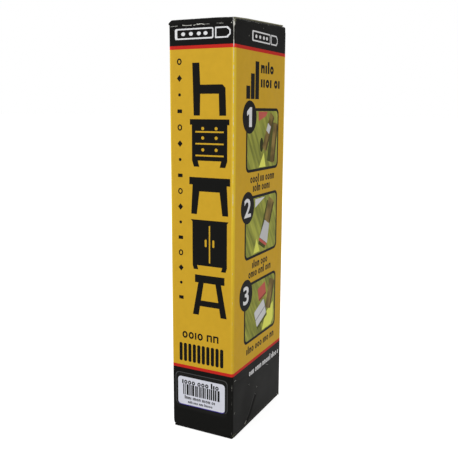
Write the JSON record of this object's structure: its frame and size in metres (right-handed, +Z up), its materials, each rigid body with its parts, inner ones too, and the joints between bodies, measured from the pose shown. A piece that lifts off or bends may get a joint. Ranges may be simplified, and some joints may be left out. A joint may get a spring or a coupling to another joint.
{
  "type": "carton of furniture repair wax sticks",
  "caption": "Tall tuck-end folding carton with hinged top and bottom closures, packed with round wax filler sticks in paper wrappers.",
  "frame": {"origin": "centre of the carton's base, in the plane that it stands on", "axes": "+Z up along the carton's height; -Y out of the front panel, which carries the lids' hinges and the label; +X out of the right side panel"},
  "size_m": [0.0326, 0.0571, 0.1928],
  "materials": {
    "printed_board": "satin",
    "black_board": "satin",
    "plain_board": "matte",
    "label_paper": "satin",
    "wax": "satin",
    "wrapper_paper": "matte"
  },
  "bodies": {
    "carton": {"sleeve": "printed_board", "glue_flap": "plain_board", "barcode_label": "label_paper", "wax_stick_01": "wax", "wax_stick_02": "wax", "wax_stick_03": "wax", "wax_stick_04": "wax", "wax_stick_05": "wax", "wax_stick_06": "wax", "wax_stick_07": "wax", "wax_stick_08": "wax", "wax_stick_09": "wax", "wax_stick_10": "wax", "stick_wrapper_01": "wrapper_paper", "stick_wrapper_02": "wrapper_paper", "stick_wrapper_03": "wrapper_paper", "stick_wrapper_04": "wrapper_paper", "stick_wrapper_05": "wrapper_paper", "stick_wrapper_06": "wrapper_paper", "stick_wrapper_07": "wrapper_paper", "stick_wrapper_08": "wrapper_paper", "stick_wrapper_09": "wrapper_paper", "stick_wrapper_10": "wrapper_paper"},
    "top_lid": {"top_lid": "black_board"},
    "top_tuck_flap": {"top_tuck_flap": "black_board"},
    "top_dust_flap_right": {"top_dust_flap_right": "black_board"},
    "top_dust_flap_left": {"top_dust_flap_left": "black_board"},
    "bottom_lid": {"bottom_lid": "black_board"},
    "bottom_tuck_flap": {"bottom_tuck_flap": "black_board"},
    "bottom_dust_flap_right": {"bottom_dust_flap_right": "black_board"},
    "bottom_dust_flap_left": {"bottom_dust_flap_left": "black_board"}
  },
  "joints": [
    {"name": "top_lid_hinge", "type": "hinge", "parent": "carton", "child": "top_lid", "pos_m": [0, -0.02852, 0.1883], "axis": [1, 0, 0], "range_deg": [0, 120]},
    {"name": "top_tuck_fold", "type": "hinge", "parent": "top_lid", "child": "top_tuck_flap", "pos_m": [0, 0.02638, 0.1928], "axis": [1, 0, 0], "range_deg": [0, 30]},
    {"name": "top_dust_right_fold", "type": "hinge", "parent": "carton", "child": "top_dust_flap_right", "pos_m": [0.01626, 0, 0.18875], "axis": [0, 1, 0], "range_deg": [0, 84]},
    {"name": "top_dust_left_fold", "type": "hinge", "parent": "carton", "child": "top_dust_flap_left", "pos_m": [-0.01626, 0, 0.18875], "axis": [0, -1, 0], "range_deg": [0, 84]},
    {"name": "bottom_lid_hinge", "type": "hinge", "parent": "carton", "child": "bottom_lid", "pos_m": [0, -0.02852, 0.0012], "axis": [-1, 0, 0], "range_deg": [0, 120]},
    {"name": "bottom_tuck_fold", "type": "hinge", "parent": "bottom_lid", "child": "bottom_tuck_flap", "pos_m": [0, 0.02652, 0], "axis": [-1, 0, 0], "range_deg": [0, 30]},
    {"name": "bottom_dust_right_fold", "type": "hinge", "parent": "carton", "child": "bottom_dust_flap_right", "pos_m": [0.01626, 0, 0.00175], "axis": [0, -1, 0], "range_deg": [0, 84]},
    {"name": "bottom_dust_left_fold", "type": "hinge", "parent": "carton", "child": "bottom_dust_flap_left", "pos_m": [-0.01626, 0, 0.00175], "axis": [0, 1, 0], "range_deg": [0, 84]}
  ],
  "couplings": [
    {"joint": "top_tuck_fold", "follows": "top_lid_hinge", "ratio": 0.25},
    {"joint": "top_dust_right_fold", "follows": "top_lid_hinge", "ratio": 0.7},
    {"joint": "top_dust_left_fold", "follows": "top_lid_hinge", "ratio": 0.7},
    {"joint": "bottom_tuck_fold", "follows": "bottom_lid_hinge", "ratio": 0.25},
    {"joint": "bottom_dust_right_fold", "follows": "bottom_lid_hinge", "ratio": 0.7},
    {"joint": "bottom_dust_left_fold", "follows": "bottom_lid_hinge", "ratio": 0.7}
  ]
}
